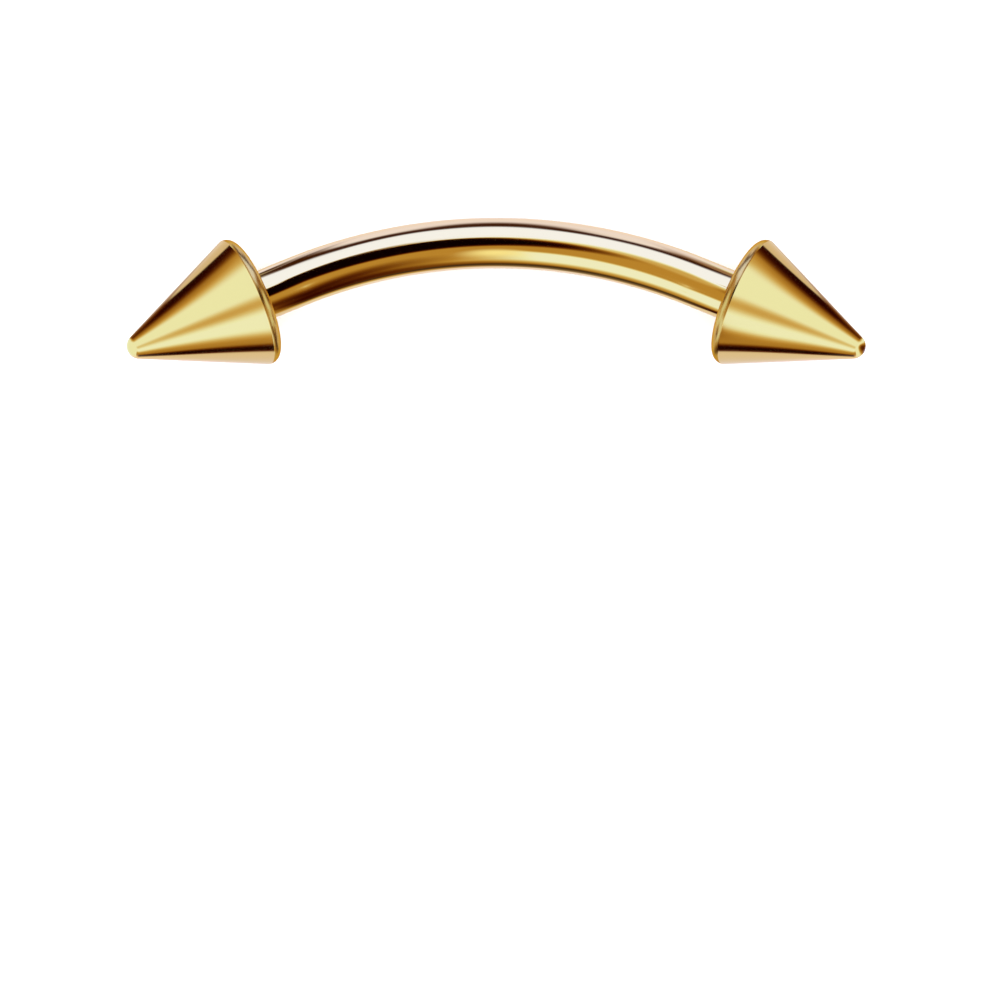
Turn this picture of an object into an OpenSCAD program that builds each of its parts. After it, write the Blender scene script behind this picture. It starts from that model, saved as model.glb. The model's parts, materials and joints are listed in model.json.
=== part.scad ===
// Curved barbell for a pierced eyebrow: a bowed bar with a cone screwed onto each end.
// It lies as it would on a table: on the middle of the bar and on the rims of both cones.

/* [Bar] */
// Diameter of the bar, the 16 gauge size
bar_d = 1.2; // [1.0:0.1:1.6]
// Length of the bar between the two cones, measured along its curve
bar_length = 11.9; // [10:0.1:16]
// Radius that the middle of the bar is bent to
bend_r = 10.6; // [9:0.1:12]
// Straight stretch of the bar at each end, next to the cone
straight_end = 1.08; // [0.5:0.01:2]

/* [Threaded ends] */
// Length of the thread that goes into a cone
post_length = 1.6; // [1:0.1:1.8]
// Pitch diameter of the thread, which the plain post stands for
post_d = 1.04; // [0.7:0.01:1.1]
// Chamfer at the end of the thread
post_chamfer = 0.1; // [0.02:0.01:0.2]
// Play between the post and the hole in the cone, on the radius
post_play = 0.04; // [0.01:0.01:0.08]
// Gap between the end of the bar and the foot of the cone
seat_gap = 0.02; // [0.01:0.01:0.05]

/* [Cones] */
// Diameter of a cone at the edge between its rim and its side
cone_d = 3.13; // [2.6:0.01:4]
// Length of a cone from its flat foot to its tip
cone_length = 3.34; // [3.2:0.01:5]
// Height of the rounded rim above the foot
rim_h = 0.26; // [0.24:0.01:0.3]
// Radius that the rim is rounded to
rim_r = 0.22; // [0.2:0.01:0.24]
// Radius of the blunt tip
tip_r = 0.31; // [0.2:0.01:0.35]
// Depth of the threaded hole, without its drill point
hole_depth = 1.8; // [1.8:0.05:2]
// Angle of the drill point at the bottom of the hole
drill_angle = 118; // [90:2:140]

/* [Hidden] */
$fn = 96;

bar_r = bar_d / 2;
post_r = post_d / 2;
hole_r = post_r + post_play;
cone_r = cone_d / 2;

// Half of the angle that the bent middle of the bar turns through
half_turn = (bar_length - 2 * straight_end) / (2 * bend_r) * 180 / PI;
// How far the end of the bend lies behind the middle of the bar
bend_drop = bend_r * (1 - cos(half_turn));

// The cone's side cuts this far into the tip's circle, so that the two join in one clean edge
tip_blend = 0.001;

// Circles that the rim and the tip are parts of, in the cone's own outline
rim_centre_r = cone_r - sqrt(pow(rim_r, 2) - pow(rim_h - rim_r, 2));
tip_centre_h = cone_length - tip_r;
// Angle between the cone's side and its axis, for a side that runs smoothly into the tip
side_reach = sqrt(pow(cone_r, 2) + pow(tip_centre_h - rim_h, 2));
side_offset = tip_r - tip_blend;
side_angle = atan2(cone_r, tip_centre_h - rim_h) - asin(side_offset / side_reach);

// Tilt of the bar's plane that brings the middle of the bar and both rims down to the table,
// or upright where the bar is too flat for its middle to reach that far
rim_drop = bend_drop + (straight_end + seat_gap + rim_r) * sin(half_turn);
rise = rim_r - bar_r;
tilt_a = pow(rim_drop, 2) + pow(rim_centre_r * sin(half_turn), 2);
tilt_b = rim_drop * rise;
tilt_c = pow(rise, 2) - pow(rim_centre_r, 2);
rest_tilt = asin(min(1, (tilt_b + sqrt(pow(tilt_b, 2) - tilt_a * tilt_c)) / tilt_a));

// How far the cones reach in front of the middle of the bar, at the edges of their rims
edge_drop = bend_drop + (straight_end + seat_gap + rim_h) * sin(half_turn);
axis_slope = sin(half_turn) * cos(rest_tilt);
front_reach = edge_drop * cos(rest_tilt) + cone_r * sqrt(1 - pow(axis_slope, 2));
// The origin is below the middle of the whole part, at the height of the table
middle_shift = (front_reach - bar_r) / 2;

// Lays the bar's own plane, with the bend towards +Y, down into its resting place
module at_rest() {
    translate([0, middle_shift, bar_r]) rotate([-rest_tilt, 0, 0]) children();
}

// Puts what is built up along +Z onto one end of the bend, pointing outwards
module at_bar_end(side) {
    translate([side * bend_r * sin(half_turn), -bend_drop, 0])
        rotate([0, 0, side > 0 ? -half_turn : 180 + half_turn])
            rotate([0, 90, 0])
                children();
}

// Straight end of the bar and the threaded post beyond it
module bar_end() {
    tip_h = straight_end + post_length;
    rotate_extrude()
        polygon([
            [0, 0],
            [bar_r, 0],
            [bar_r, straight_end],
            [post_r, straight_end],
            [post_r, tip_h - post_chamfer],
            [post_r - post_chamfer, tip_h],
            [0, tip_h],
        ]);
}

// Right half of the bar: the bend starts square to the straight end, runs past the middle and is cut off there
module half_bar() {
    past_middle = 2;
    block = 4 * bend_r;
    translate([0, -bend_r, 0])
        intersection() {
            rotate([0, 0, 90 - half_turn]) {
                translate([bend_r, 0, 0]) rotate([90, 0, 0]) bar_end();
                rotate_extrude(angle = half_turn + past_middle)
                    translate([bend_r, 0]) circle(r = bar_r);
            }
            translate([0, -block / 2, -block / 2]) cube(block);
        }
}

module curved_bar() {
    color("gold")
        at_rest() {
            half_bar();
            mirror([1, 0, 0]) half_bar();
        }
}

// Half of a cone's outline, from its axis outwards
module cone_outline() {
    tip_edge = [side_offset * cos(side_angle), tip_centre_h + side_offset * sin(side_angle)];
    polygon([
        [0, 0],
        [rim_centre_r, 0],
        [cone_r, rim_h],
        tip_edge,
        [0, tip_edge[1]],
    ]);
    translate([rim_centre_r, rim_r]) circle(r = rim_r);
    intersection() {
        translate([0, tip_centre_h]) circle(r = tip_r);
        translate([0, tip_centre_h]) square([tip_r, tip_r]);
    }
}

module threaded_hole() {
    point_h = hole_r / tan(drill_angle / 2);
    over = 0.1;
    translate([0, 0, -over]) cylinder(r = hole_r, h = hole_depth + over);
    translate([0, 0, hole_depth]) cylinder(r1 = hole_r, r2 = 0, h = point_h);
}

module screw_on_cone() {
    difference() {
        rotate_extrude() cone_outline();
        threaded_hole();
    }
}

module end_cone(side) {
    color("gold")
        at_rest()
            at_bar_end(side)
                translate([0, 0, straight_end + seat_gap])
                    screw_on_cone();
}

module left_cone() {
    end_cone(-1);
}

module right_cone() {
    end_cone(1);
}

curved_bar();
left_cone();
right_cone();
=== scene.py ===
# Curved eyebrow barbell in mirror-polished gold, lying on a pale table, seen from straight above
import json
import math
from collections import namedtuple

import bpy
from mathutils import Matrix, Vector


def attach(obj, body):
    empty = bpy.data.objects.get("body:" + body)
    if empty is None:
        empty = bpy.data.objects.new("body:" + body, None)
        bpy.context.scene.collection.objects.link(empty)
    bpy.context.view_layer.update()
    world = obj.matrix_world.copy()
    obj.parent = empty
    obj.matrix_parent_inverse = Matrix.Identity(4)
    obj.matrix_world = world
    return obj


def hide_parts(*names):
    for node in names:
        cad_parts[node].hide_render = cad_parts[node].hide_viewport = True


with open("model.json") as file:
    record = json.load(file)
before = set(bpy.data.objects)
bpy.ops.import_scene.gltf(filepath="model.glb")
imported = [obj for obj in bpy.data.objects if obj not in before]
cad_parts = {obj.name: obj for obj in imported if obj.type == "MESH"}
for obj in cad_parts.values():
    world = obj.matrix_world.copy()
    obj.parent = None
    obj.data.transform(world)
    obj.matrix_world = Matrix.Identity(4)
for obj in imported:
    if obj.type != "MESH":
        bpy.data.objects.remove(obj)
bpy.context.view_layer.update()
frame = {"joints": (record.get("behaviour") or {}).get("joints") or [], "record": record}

MM = 0.001

# The photograph's view: from straight above, the barbell in the upper part of the picture
VIEW_CENTRE = (0.09 * MM, -4.94 * MM)
VIEW_WIDTH = 23.66 * MM
VIEW_LEVEL = 0.6 * MM
CAMERA_HEIGHT = 400 * MM
# The camera sees from its height divided by this to its height times this
CLIP_SPAN = 10
SENSOR = 36

# The barbell's own sizes that the frame doesn't give
STRAIGHT_END = 1.08 * MM
POST_LENGTH = 1.6 * MM
POST_CHAMFER = 0.1 * MM
SHOULDER_ROUNDING = 0.04 * MM
SEAT_GAP = 0.02 * MM
CONE_R = 1.565 * MM
CONE_LENGTH = 3.34 * MM
RIM_H = 0.26 * MM
RIM_R = 0.22 * MM
TIP_R = 0.31 * MM
HOLE_R = 0.56 * MM
HOLE_DEPTH = 1.8 * MM
DRILL_HALF_ANGLE = math.radians(59)

# The M1.2 thread, cut on the posts and in the cones
THREAD_PITCH = 0.25 * MM
# The crest and the groove are each flat over this share of the pitch
THREAD_FLAT = 0.2
POST_CREST_R = 0.555 * MM
POST_CUT = 0.085 * MM
HOLE_CUT = 0.07 * MM

# Fineness of the meshes
SIDES = 144
ARC_STEP = math.radians(4)
BEND_STEP = math.radians(0.5)
STEPS_PER_TURN = 14
TENT_SEGMENTS = 128
TENT_RINGS = 64

# The table and the light of the room
TABLE_HALF = 400 * MM
TABLE_LEVEL = -0.002 * MM
TABLE_WHITE = (0.9, 0.9, 0.9)
TABLE_ROUGHNESS = 0.6
ROOM_WHITE = (1, 1, 1)
ROOM_LIGHT = 2.2

# Gold as a mirror, and how its gloss varies: patches of about a millimetre with finer ones in them
GOLD = (0.94, 0.66, 0.24)
PLAIN_SHEEN = (1, 1, 1)
BAR_ROUGHNESS = 0.06
CONE_ROUGHNESS = 0.1
ROUGHNESS_SPREAD = 0.03
WEAR_SCALE = 900
WEAR_DETAIL = 4
# The rims of the cones are a little duller. Their gold is painted darker as painted shade, and their sheen
# is painted golden, also where they are seen almost edge on.
RIM_SHADED_GOLD = (0.74, 0.46, 0.12)
RIM_PAINTED_SHEEN = (0.8, 0.55, 0.25)
RIM_DULLNESS = 0.15
# What is marked as rim stops this far below the edge where the cone's side begins
RIM_MARGIN = 0.001 * MM

# The tent of light round the barbell, which only the gold mirrors
TENT_R = 16 * MM
TENT_CENTRE = (0, 6 * MM, 6 * MM)
# The colours of the gold from the darkest reflection to the brightest, as they show in the picture
GOLD_TONES = [
    (0, (0, 0, 0)), (0.2, (50, 6, 0)), (0.35, (88, 36, 4)), (0.47, (120, 66, 10)), (0.6, (154, 100, 26)),
    (0.72, (184, 130, 42)), (0.8, (204, 160, 74)), (0.86, (219, 192, 114)), (0.91, (232, 220, 156)),
    (0.93, (237, 232, 168)), (0.97, (246, 241, 230)),
]
CREAM = (238, 216, 192)
TAN = (212, 176, 112)
PALE_TAN = (220, 188, 130)
ROSE = (170, 126, 88)
BROWN = (160, 116, 78)
WARM_BROWN = (150, 106, 62)
GREY_BROWN = (150, 110, 84)
DEEP_BROWN = (84, 46, 18)
YELLOW = (250, 226, 135)
DARK = (62, 26, 2)
OLIVE = (66, 42, 14)
GREY = (150, 122, 118)
# Cream for what the gold mirrors almost edge on, where it mirrors blue more and so needs less of it
STEEP_CREAM = (240, 202, 146)
# Towards the edge of the mirror ball even gold mirrors every colour alike
EDGE_COLOUR = (246, 240, 238)
EDGE_CENTRE = (0, 0.03, 0)
EDGE_START = 0.9
EDGE_END = 1.02
# Patches of tone or colour in the tent. Their places are those in a small mirror ball seen from above: 0 is
# straight up, 0.71 from there is level with the table, and 1 is straight down. Each has a centre, half
# sizes, a turn in degrees, how soft its edge is, and its tone or colour. One softness makes an ellipse, and
# two make a box. The paired patches are on both sides.
SINGLE_TONES = {
    "gold_left_above": ((-0.5, 0.4), (0.28, 0.3), 30, 0.4, 0.68),
    "gold_right_above": ((0.5, 0.4), (0.28, 0.3), -30, 0.4, 0.56),
    "gold_beside_bar_left": ((-0.27, 0.1), (0.12, 0.36), 0, 0.5, 0.7),
    "gold_beside_bar_right": ((0.27, 0.1), (0.12, 0.36), 0, 0.5, 0.62),
    "gold_above": ((0, -0.15), (0.28, 0.5), 0, 0.12, 0.72),
    "gold_in_front": ((0, -0.55), (0.24, 0.4), 0, 0.1, 0.72),
    "bright_behind": ((0, 0.66), (0.55, 0.26), 0, 0.25, 0.97),
    "pale_above": ((-0.05, 0.2), (0.14, 0.28), 0, 1, 0.92),
    "bright_above": ((0.01, 0.4), (0.24, 0.27), 0, 0.25, 0.97),
    "gold_left_of_tip": ((-0.11, 0.1), (0.08, 0.22), -18, 0.8, 0.8),
    "black_above": ((0.07, -0.09), (0.195, 0.26), -8, 0.5, 0.02),
    "black_above_high": ((0.07, 0.04), (0.1, 0.165), 0, 0.4, 0.02),
    "black_spur": ((0.07, 0.15), (0.035, 0.13), 22, 0.5, 0.02),
    "pale_in_front": ((-0.12, -0.65), (0.17, 0.2), 0, (0.5, 0.5), 0.94),
    "shade_in_front": ((0.17, -0.75), (0.16, 0.32), 0, 1, 0.2),
    "dark_in_front": ((0.08, -0.83), (0.16, 0.08), 38, 0.9, 0.2),
    "dark_low_in_front": ((0.1, -0.865), (0.14, 0.06), 15, 0.9, 0.22),
    "dark_on_right_tip": ((0.68, -0.43), (0.13, 0.19), -10, 0.9, 0.33),
}
PAIRED_TONES = {
    "pale_by_cone": ((0.34, -0.52), (0.112, 0.2), 0, (0.1, 0.7), 0.935),
    "brown_beside_cone": ((0.86, 0.1), (0.3, 0.36), 0, 1, 0.38),
    "dark_beside_cone": ((0.855, 0.08), (0.11, 0.36), 12, 1, 0.1),
    "brown_beside_low": ((0.885, -0.2), (0.07, 0.25), 8, 1, 0.4),
    "streak_on_cone": ((0.34, -0.365), (0.19, 0.14), 5, 1, 0.78),
    "brown_by_cone": ((0.365, -0.67), (0.17, 0.1), 29, (0.1, 1), 0.66),
    "dark_by_cone": ((0.36, -0.713), (0.155, 0.04), 29, (0.15, 1), 0.05),
}
PAIRED_COLOURS = {
    "table_beside": ((0.67, 0.93), (0.5, 0.3), -18, (0.1, 0.1), CREAM),
    "tan_beside_cone": ((1.03, 0.05), (0.15, 0.35), 5, (0.08, 0.1), TAN),
    "rose_beside_cone": ((0.87, -0.3), (0.05, 0.18), -15, 0.8, ROSE),
    "tan_by_cone": ((0.457, -0.824), (0.35, 0.127), 29, (0.05, 0.1), PALE_TAN),
    "table_far_beside": ((0.96, 0.42), (0.14, 0.34), 28, (0.2, 0.15), CREAM),
    "table_in_front": ((0.66, -0.73), (0.27, 0.2), -10, 0.7, STEEP_CREAM),
    "brown_behind_beside": ((0.43, 0.71), (0.3, 0.1), -12, 1, BROWN),
}
SINGLE_COLOURS = {
    "table_behind": ((0, 1.05), (0.5, 0.3), 0, (0.1, 0.08), CREAM),
    "brown_behind": ((0, 0.83), (0.32, 0.14), 0, 1, GREY_BROWN),
    "dark_behind": ((0, 0.815), (0.22, 0.13), 0, 0.8, DARK),
    "dark_behind_left_inner": ((-0.16, 0.765), (0.17, 0.11), 19, (0.6, 0.8), DARK),
    "dark_behind_left_outer": ((-0.38, 0.716), (0.26, 0.088), 10, (0.4, 0.8), DARK),
    "dark_behind_right_inner": ((0.11, 0.75), (0.15, 0.11), -42, 0.8, DARK),
    "dark_behind_right_outer": ((0.31, 0.705), (0.26, 0.085), -10, (0.5, 0.8), DARK),
    "dark_behind_left_end": ((-0.68, 0.61), (0.15, 0.045), 38, (0.6, 1), DEEP_BROWN),
    "tan_behind_right": ((0.56, 0.665), (0.2, 0.05), -22, 0.9, WARM_BROWN),
    "yellow_in_front": ((0, -0.58), (0.05, 0.2), 0, 1, YELLOW),
    "olive_in_front": ((0.015, -0.885), (0.09, 0.04), -28, 0.8, OLIVE),
    "table_below": ((0, -1.1), (0.5, 0.19), 0, (0.1, 0.15), CREAM),
    "grey_on_right_tip": ((0.71, -0.53), (0.08, 0.08), 0, 1, GREY),
}
# The tone where no patch lies
OPEN_TONE = 0.925

# The standard curve from a colour's number in a picture to its light: a straight toe and then a power
PICTURE_WHITE = 255
TOE_END = 0.04045
TOE_SLOPE = 12.92
CURVE_OFFSET = 0.055
CURVE_POWER = 2.4

# A mix node's inputs for the factor and what it mixes, and its result, for numbers and for colours
MIX_INPUTS = {"FLOAT": (0, 2, 3), "RGBA": (0, 6, 7)}
MIX_RESULT = {"FLOAT": 0, "RGBA": 2}

# Where the bar lies, from the frame. The half turn is the angle from its middle to either of its ends.
piercing = frame["record"]["mounts"][0]
right_unscrew = next(j for j in frame["joints"] if j["name"] == "right_unscrew")
BAR_R = piercing["dims"]["r_mm"] * MM
BAR_LENGTH = piercing["dims"]["length_mm"] * MM
BAR_MIDDLE = Vector(piercing["pos_m"])
END_AXIS = Vector(right_unscrew["axis"]).normalized()
HALF_TURN = math.acos(END_AXIS.x)
REST_TILT = math.atan2(END_AXIS.z, -END_AXIS.y)
BEND_R = (BAR_LENGTH - 2 * STRAIGHT_END) / (2 * HALF_TURN)
ALONG = Vector((1, 0, 0))
BULGE = Vector((0, math.cos(REST_TILT), -math.sin(REST_TILT)))
PLANE_NORMAL = ALONG.cross(BULGE)

# One ring of a turned shape: how far along its line, how wide, whether the surface has an edge there, and
# how deep the thread is cut there
Ring = namedtuple("Ring", "station radius is_edge cut", defaults=(False, 0))


def make_camera():
    data = bpy.data.cameras.new("camera")
    data.sensor_width = SENSOR
    data.lens = SENSOR * (CAMERA_HEIGHT - VIEW_LEVEL) / VIEW_WIDTH
    data.clip_start = CAMERA_HEIGHT / CLIP_SPAN
    data.clip_end = CAMERA_HEIGHT * CLIP_SPAN
    camera = bpy.data.objects.new("camera", data)
    camera.location = (*VIEW_CENTRE, CAMERA_HEIGHT)
    bpy.context.scene.collection.objects.link(camera)
    bpy.context.scene.camera = camera


def point_on_bar(station):
    """Point and direction of the bar's centreline at a signed distance from its middle."""
    turn = max(-HALF_TURN, min(HALF_TURN, station / BEND_R))
    direction = ALONG * math.cos(turn) - BULGE * math.sin(turn)
    bent = ALONG * math.sin(turn) - BULGE * (1 - math.cos(turn))
    return BAR_MIDDLE + BEND_R * bent + direction * (station - turn * BEND_R), direction


def point_in_cone(side):
    """A function like point_on_bar, for the heights above the foot of one cone."""
    end, direction = point_on_bar(side * (BAR_LENGTH / 2 + SEAT_GAP))
    outwards = direction * side
    return lambda station: (end + outwards * station, outwards)


def thread_wave(turns):
    """Height of the thread's flank from 0 in the groove to 1 on the crest, with a flat on each."""
    saw = abs((turns % 1) * 2 - 1)
    return min(1, max(0, (saw - THREAD_FLAT) / (1 - 2 * THREAD_FLAT)))


def ring_points(ring, place):
    """The points round a ring, or its single point where it has no width."""
    centre, direction = place(ring.station)
    up = direction.cross(PLANE_NORMAL)
    points = []
    for k in range(SIDES if ring.radius > 0 else 1):
        angle = math.tau * k / SIDES
        outwards = PLANE_NORMAL * math.cos(angle) + up * math.sin(angle)
        height = thread_wave(ring.station / THREAD_PITCH - k / SIDES) if ring.cut else 0
        points.append(centre + outwards * (ring.radius + ring.cut * height))
    return points


def faces_between(loops):
    """Faces from each loop of points to the next, of three corners where a loop is a single point and of
    four elsewhere."""
    faces = []
    for one, other in zip(loops, loops[1:]):
        for k in range(SIDES):
            after = (k + 1) % SIDES
            corners = (one[k], one[after], other[after], other[k])
            faces.append(list(dict.fromkeys(corners)))
    return faces


def revolved(name, outline, place, rim_h=0):
    """A smooth closed mesh of rings around the line that place gives. What lies between 0 and rim_h along
    the line is marked as rim."""
    vertices = []
    on_rim = []
    loops = []
    sharp = set()
    for ring in outline:
        points = ring_points(ring, place)
        loop = [len(vertices) + k % len(points) for k in range(SIDES)]
        vertices += points
        on_rim += [1 if 0 < ring.station < rim_h else 0] * len(points)
        loops.append(loop)
        if ring.is_edge:
            sharp.update(frozenset(pair) for pair in zip(loop, loop[1:] + loop[:1]))
    mesh = bpy.data.meshes.new(name)
    mesh.from_pydata(vertices, [], faces_between(loops))
    mesh.attributes.new("rim", "FLOAT", "POINT").data.foreach_set("value", on_rim)
    for edge in mesh.edges:
        edge.use_edge_sharp = frozenset(edge.vertices) in sharp
    mesh.shade_smooth()
    piece = bpy.data.objects.new(name, mesh)
    bpy.context.scene.collection.objects.link(piece)
    return piece


def arc(centre_station, centre_radius, radius, start, end):
    """Rings along an arc, from one angle to another, measured from straight outwards."""
    steps = max(1, round(abs(end - start) / ARC_STEP))
    rings = []
    for k in range(steps + 1):
        angle = start + (end - start) * k / steps
        station = centre_station + radius * math.sin(angle)
        rings.append(Ring(station, centre_radius + radius * math.cos(angle)))
    return rings


def thread_rings(start, end, radius, cut):
    """Rings along a threaded stretch, whose thread fades out over its first and last turn."""
    steps = round(abs(end - start) / THREAD_PITCH * STEPS_PER_TURN)
    rings = []
    for k in range(steps + 1):
        part = k / steps
        fade = min(1, min(part, 1 - part) * steps / STEPS_PER_TURN)
        rings.append(Ring(start + (end - start) * part, radius + cut * (1 - fade), cut=cut * fade))
    return rings


def bar_outline():
    """Rings from the end of the right post, past the middle of the bar, to the end of the left post."""
    shoulder = BAR_LENGTH / 2
    post_end = shoulder + POST_LENGTH
    thread_start = post_end - POST_CHAMFER
    half = [
        Ring(post_end, 0),
        Ring(post_end, POST_CREST_R - POST_CHAMFER, is_edge=True),
        Ring(thread_start, POST_CREST_R, is_edge=True),
    ]
    half += thread_rings(thread_start, shoulder, POST_CREST_R - POST_CUT, POST_CUT)[1:]
    half.append(Ring(shoulder, POST_CREST_R, is_edge=True))
    half += arc(shoulder - SHOULDER_ROUNDING, BAR_R - SHOULDER_ROUNDING, SHOULDER_ROUNDING, math.pi / 2, 0)
    bend_steps = round(HALF_TURN / BEND_STEP)
    half += [Ring(HALF_TURN * BEND_R * k / bend_steps, BAR_R) for k in range(bend_steps, -1, -1)]
    other_half = [ring._replace(station=-ring.station) for ring in reversed(half[:-1])]
    return half + other_half


def cone_outline():
    """Rings from the drill point in the hole, round the foot and the rim, to the tip."""
    tip_centre = CONE_LENGTH - TIP_R
    side_reach = math.hypot(CONE_R, tip_centre - RIM_H)
    side_angle = math.atan2(CONE_R, tip_centre - RIM_H) - math.asin(TIP_R / side_reach)
    rim_centre_r = CONE_R - math.sqrt(RIM_R**2 - (RIM_H - RIM_R) ** 2)
    rim_top = math.asin((RIM_H - RIM_R) / RIM_R)
    drill_point = HOLE_DEPTH + HOLE_R / math.tan(DRILL_HALF_ANGLE)
    rings = [Ring(drill_point, 0), Ring(HOLE_DEPTH, HOLE_R, is_edge=True)]
    rings += thread_rings(HOLE_DEPTH, 0, HOLE_R, HOLE_CUT)[1:-1]
    rings.append(Ring(0, HOLE_R + HOLE_CUT, is_edge=True))
    rings += arc(RIM_R, rim_centre_r, RIM_R, -math.pi / 2, rim_top)
    rings[-1] = rings[-1]._replace(is_edge=True)
    rings += arc(tip_centre, 0, TIP_R, side_angle, math.pi / 2)[:-1]
    rings.append(Ring(CONE_LENGTH, 0))
    return rings


def new_material(name):
    material = bpy.data.materials.new(name)
    material.use_nodes = True
    return material, material.node_tree.nodes, material.node_tree.links


def feed(links, socket, value):
    """Gives a node's input another node's result or a fixed value."""
    if isinstance(value, bpy.types.NodeSocket):
        links.new(value, socket)
    else:
        socket.default_value = value


def arithmetic(nodes, links, kind, operation, *values):
    """A node that works something out from other nodes' results and fixed values."""
    step = nodes.new(kind)
    step.operation = operation
    for socket, value in zip(step.inputs, values):
        feed(links, socket, value)
    return step


def mixed(nodes, links, kind, factor, before, after, label=""):
    """A node socket that goes from one value or colour to another while the factor goes from 0 to 1."""
    mix = nodes.new("ShaderNodeMix")
    mix.data_type = kind
    mix.label = label
    for place, value in zip(MIX_INPUTS[kind], (factor, before, after)):
        feed(links, mix.inputs[place], value)
    return mix.outputs[MIX_RESULT[kind]]


def uneven_gloss(nodes, links, rim_mark, roughness):
    """A node socket with a roughness that varies from place to place and is higher on the rims."""
    place = nodes.new("ShaderNodeTexCoord")
    wear = nodes.new("ShaderNodeTexNoise")
    wear.inputs["Scale"].default_value = WEAR_SCALE
    wear.inputs["Detail"].default_value = WEAR_DETAIL
    links.new(place.outputs["Object"], wear.inputs["Vector"])
    gloss = nodes.new("ShaderNodeMapRange")
    gloss.inputs["To Min"].default_value = roughness - ROUGHNESS_SPREAD
    gloss.inputs["To Max"].default_value = roughness + ROUGHNESS_SPREAD
    links.new(wear.outputs["Fac"], gloss.inputs["Value"])
    worn = gloss.outputs["Result"]
    duller = arithmetic(nodes, links, "ShaderNodeMath", "MULTIPLY_ADD", rim_mark, RIM_DULLNESS, worn)
    return duller.outputs["Value"]


def gold(name, roughness):
    """Polished gold, a little more or less glossy from place to place, with painted shade and a painted
    golden sheen on the rims.
    """
    material, nodes, links = new_material(name)
    shader = nodes["Principled BSDF"]
    shader.inputs["Metallic"].default_value = 1
    rim = nodes.new("ShaderNodeAttribute")
    rim.attribute_name = "rim"
    rim_mark = rim.outputs["Fac"]
    # On the rims the base gold is painted darker and the sheen golden: painted shade and painted reflection
    looks = {"Base Color": (GOLD, RIM_SHADED_GOLD), "Specular Tint": (PLAIN_SHEEN, RIM_PAINTED_SHEEN)}
    for look, (elsewhere, on_rim) in looks.items():
        colour = mixed(nodes, links, "RGBA", rim_mark, (*elsewhere, 1), (*on_rim, 1))
        links.new(colour, shader.inputs[look])
    links.new(uneven_gloss(nodes, links, rim_mark, roughness), shader.inputs["Roughness"])
    return material


def dress(piece, body, node, material):
    piece.data.materials.append(material)
    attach(piece, body)
    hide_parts(node)


def make_bar():
    bar = revolved("bowed_bar", bar_outline(), point_on_bar)
    dress(bar, "bar", "curved_bar", gold("bar_gold", BAR_ROUGHNESS))


def make_cones():
    material = gold("cone_gold", CONE_ROUGHNESS)
    for side, body, node in ((-1, "left_end", "left_cone"), (1, "right_end", "right_cone")):
        cone = revolved(node + "_polished", cone_outline(), point_in_cone(side), RIM_H - RIM_MARGIN)
        dress(cone, body, node, material)


def table_material():
    material, nodes, _ = new_material("table_white")
    shader = nodes["Principled BSDF"]
    shader.inputs["Base Color"].default_value = (*TABLE_WHITE, 1)
    shader.inputs["Roughness"].default_value = TABLE_ROUGHNESS
    return material


def make_table():
    mesh = bpy.data.meshes.new("table")
    signs = ((-1, -1), (1, -1), (1, 1), (-1, 1))
    corners = [(x * TABLE_HALF, y * TABLE_HALF, TABLE_LEVEL) for x, y in signs]
    mesh.from_pydata(corners, [], [(0, 1, 2, 3)])
    table = bpy.data.objects.new("table", mesh)
    bpy.context.scene.collection.objects.link(table)
    table.data.materials.append(table_material())
    table.visible_glossy = False


def linear(colour):
    """Light that shows in the picture as this colour."""
    light = []
    for part in colour:
        level = part / PICTURE_WHITE
        if level <= TOE_END:
            light.append(level / TOE_SLOPE)
        else:
            light.append(((level + CURVE_OFFSET) / (1 + CURVE_OFFSET)) ** CURVE_POWER)
    return light


def light_in_gold(colour):
    """Light that shows as this colour where the gold mirrors it."""
    return (*[light / mirrored for light, mirrored in zip(linear(colour), GOLD)], 1)


def soft_edge(nodes, links, distance, start, end):
    """A node socket that falls from 1 to 0 between two distances."""
    edge = nodes.new("ShaderNodeMapRange")
    edge.interpolation_type = "SMOOTHSTEP"
    edge.inputs["From Min"].default_value = start
    edge.inputs["From Max"].default_value = end
    edge.inputs["To Min"].default_value = 1
    edge.inputs["To Max"].default_value = 0
    links.new(distance, edge.inputs["Value"])
    return edge.outputs["Result"]


def soft_patch(nodes, links, place, centre, half_size, turn, softness):
    """A node socket that is 1 inside a soft-edged ellipse or box and 0 outside it."""
    mapping = nodes.new("ShaderNodeMapping")
    mapping.vector_type = "TEXTURE"
    mapping.inputs["Location"].default_value = (*centre, 0)
    mapping.inputs["Rotation"].default_value = (0, 0, math.radians(turn))
    mapping.inputs["Scale"].default_value = (*half_size, 1)
    links.new(place, mapping.inputs["Vector"])
    from_centre = mapping.outputs["Vector"]
    if not isinstance(softness, tuple):
        distance = arithmetic(nodes, links, "ShaderNodeVectorMath", "LENGTH", from_centre)
        return soft_edge(nodes, links, distance.outputs["Value"], 1 - softness, 1)
    distances = arithmetic(nodes, links, "ShaderNodeVectorMath", "ABSOLUTE", from_centre)
    split = nodes.new("ShaderNodeSeparateXYZ")
    links.new(distances.outputs["Vector"], split.inputs[0])
    both = [soft_edge(nodes, links, split.outputs[k], 1 - softness[k], 1) for k in range(2)]
    return arithmetic(nodes, links, "ShaderNodeMath", "MULTIPLY", *both).outputs["Value"]


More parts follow.
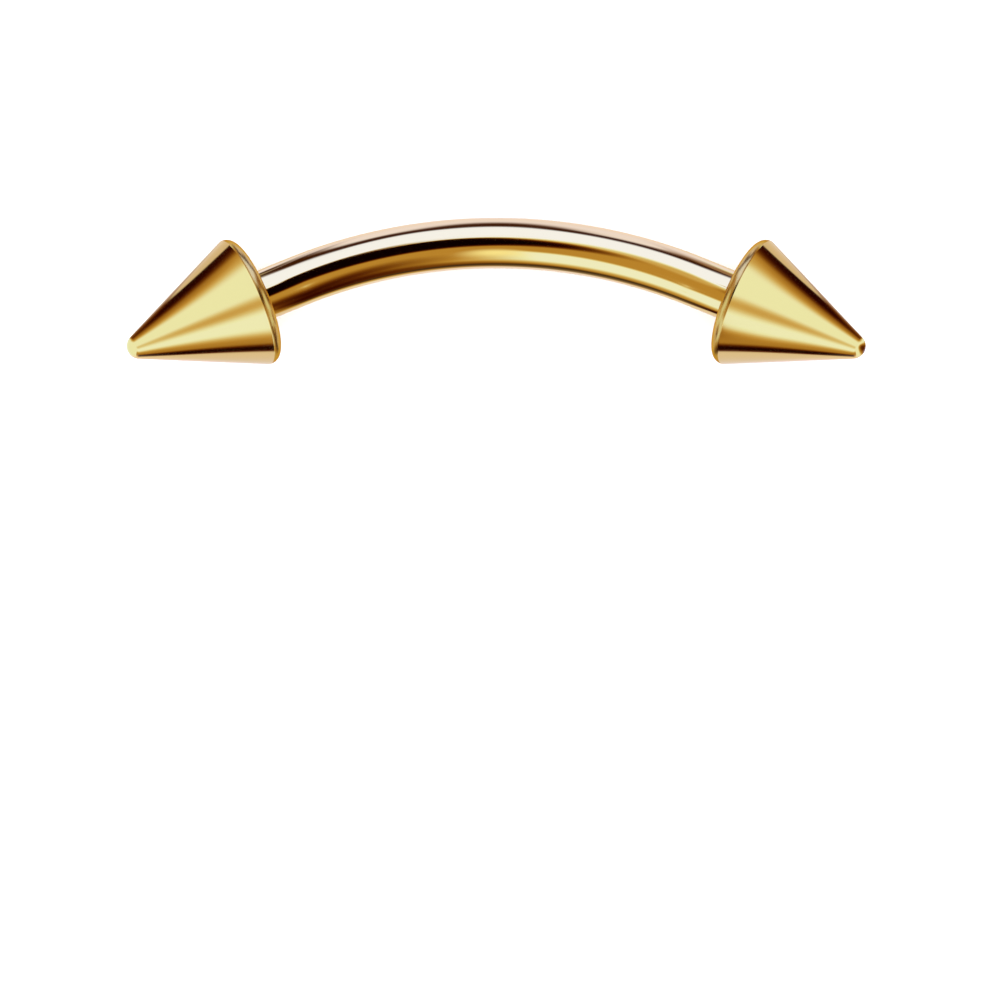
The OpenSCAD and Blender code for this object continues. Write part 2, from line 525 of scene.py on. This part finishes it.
def mirror_ball_place(nodes, links):
    """Node sockets with a place in the tent as it shows in a mirror ball from above, and with the same
    place folded over to +X."""
    upwards = (0, 0, 1)
    flattened = (1, 1, 0)
    place = nodes.new("ShaderNodeTexCoord").outputs["Object"]
    for operation, *values in (("NORMALIZE",), ("ADD", upwards), ("NORMALIZE",), ("MULTIPLY", flattened)):
        step = arithmetic(nodes, links, "ShaderNodeVectorMath", operation, place, *values)
        place = step.outputs["Vector"]
    split = nodes.new("ShaderNodeSeparateXYZ")
    links.new(place, split.inputs[0])
    sideways = arithmetic(nodes, links, "ShaderNodeMath", "ABSOLUTE", split.outputs["X"])
    folded = nodes.new("ShaderNodeCombineXYZ")
    links.new(sideways.outputs["Value"], folded.inputs["X"])
    links.new(split.outputs["Y"], folded.inputs["Y"])
    return place, folded.outputs["Vector"]


def tone_colours(nodes, links, tone):
    """A node socket with the light that makes the gold show the colour of a tone."""
    ramp = nodes.new("ShaderNodeValToRGB")
    links.new(tone, ramp.inputs["Fac"])
    stops = ramp.color_ramp.elements
    while len(stops) < len(GOLD_TONES):
        stops.new(1)
    for stop, (tone_value, colour) in zip(stops, GOLD_TONES):
        stop.position = tone_value
        stop.color = light_in_gold(colour)
    return ramp.outputs["Color"]


def tent_light(nodes, links):
    """A node socket with the light that comes from each place in the tent."""
    everywhere, folded = mirror_ball_place(nodes, links)
    tone = OPEN_TONE
    for place, patches in ((everywhere, SINGLE_TONES), (folded, PAIRED_TONES)):
        for name, (*shape, patch_tone) in patches.items():
            inside = soft_patch(nodes, links, place, *shape)
            tone = mixed(nodes, links, "FLOAT", inside, tone, patch_tone, name)
    light = tone_colours(nodes, links, tone)
    for place, patches in ((folded, PAIRED_COLOURS), (everywhere, SINGLE_COLOURS)):
        for name, (*shape, colour) in patches.items():
            inside = soft_patch(nodes, links, place, *shape)
            light = mixed(nodes, links, "RGBA", inside, light, light_in_gold(colour), name)
    distance = arithmetic(nodes, links, "ShaderNodeVectorMath", "DISTANCE", everywhere, EDGE_CENTRE)
    inside = soft_edge(nodes, links, distance.outputs["Value"], EDGE_START, EDGE_END)
    return mixed(nodes, links, "RGBA", inside, (*linear(EDGE_COLOUR), 1), light)


def tent_material():
    material, nodes, links = new_material("tent_light")
    nodes.clear()
    emission = nodes.new("ShaderNodeEmission")
    links.new(tent_light(nodes, links), emission.inputs["Color"])
    output = nodes.new("ShaderNodeOutputMaterial")
    links.new(emission.outputs["Emission"], output.inputs["Surface"])
    material.cycles.emission_sampling = "NONE"
    return material


def make_tent():
    bpy.ops.mesh.primitive_uv_sphere_add(
        segments=TENT_SEGMENTS, ring_count=TENT_RINGS, radius=TENT_R, location=TENT_CENTRE
    )
    tent = bpy.context.object
    tent.name = "light_tent"
    tent.data.shade_smooth()
    tent.data.materials.append(tent_material())
    tent.visible_camera = False
    tent.visible_diffuse = False
    tent.visible_transmission = False
    tent.visible_volume_scatter = False
    tent.visible_shadow = False


def make_world():
    world = bpy.data.worlds.new("studio")
    bpy.context.scene.world = world
    world.use_nodes = True
    background = world.node_tree.nodes["Background"]
    background.inputs["Color"].default_value = (*ROOM_WHITE, 1)
    background.inputs["Strength"].default_value = ROOM_LIGHT
    bpy.context.scene.view_settings.view_transform = "Standard"


make_camera()
make_world()
make_table()
make_tent()
make_bar()
make_cones()
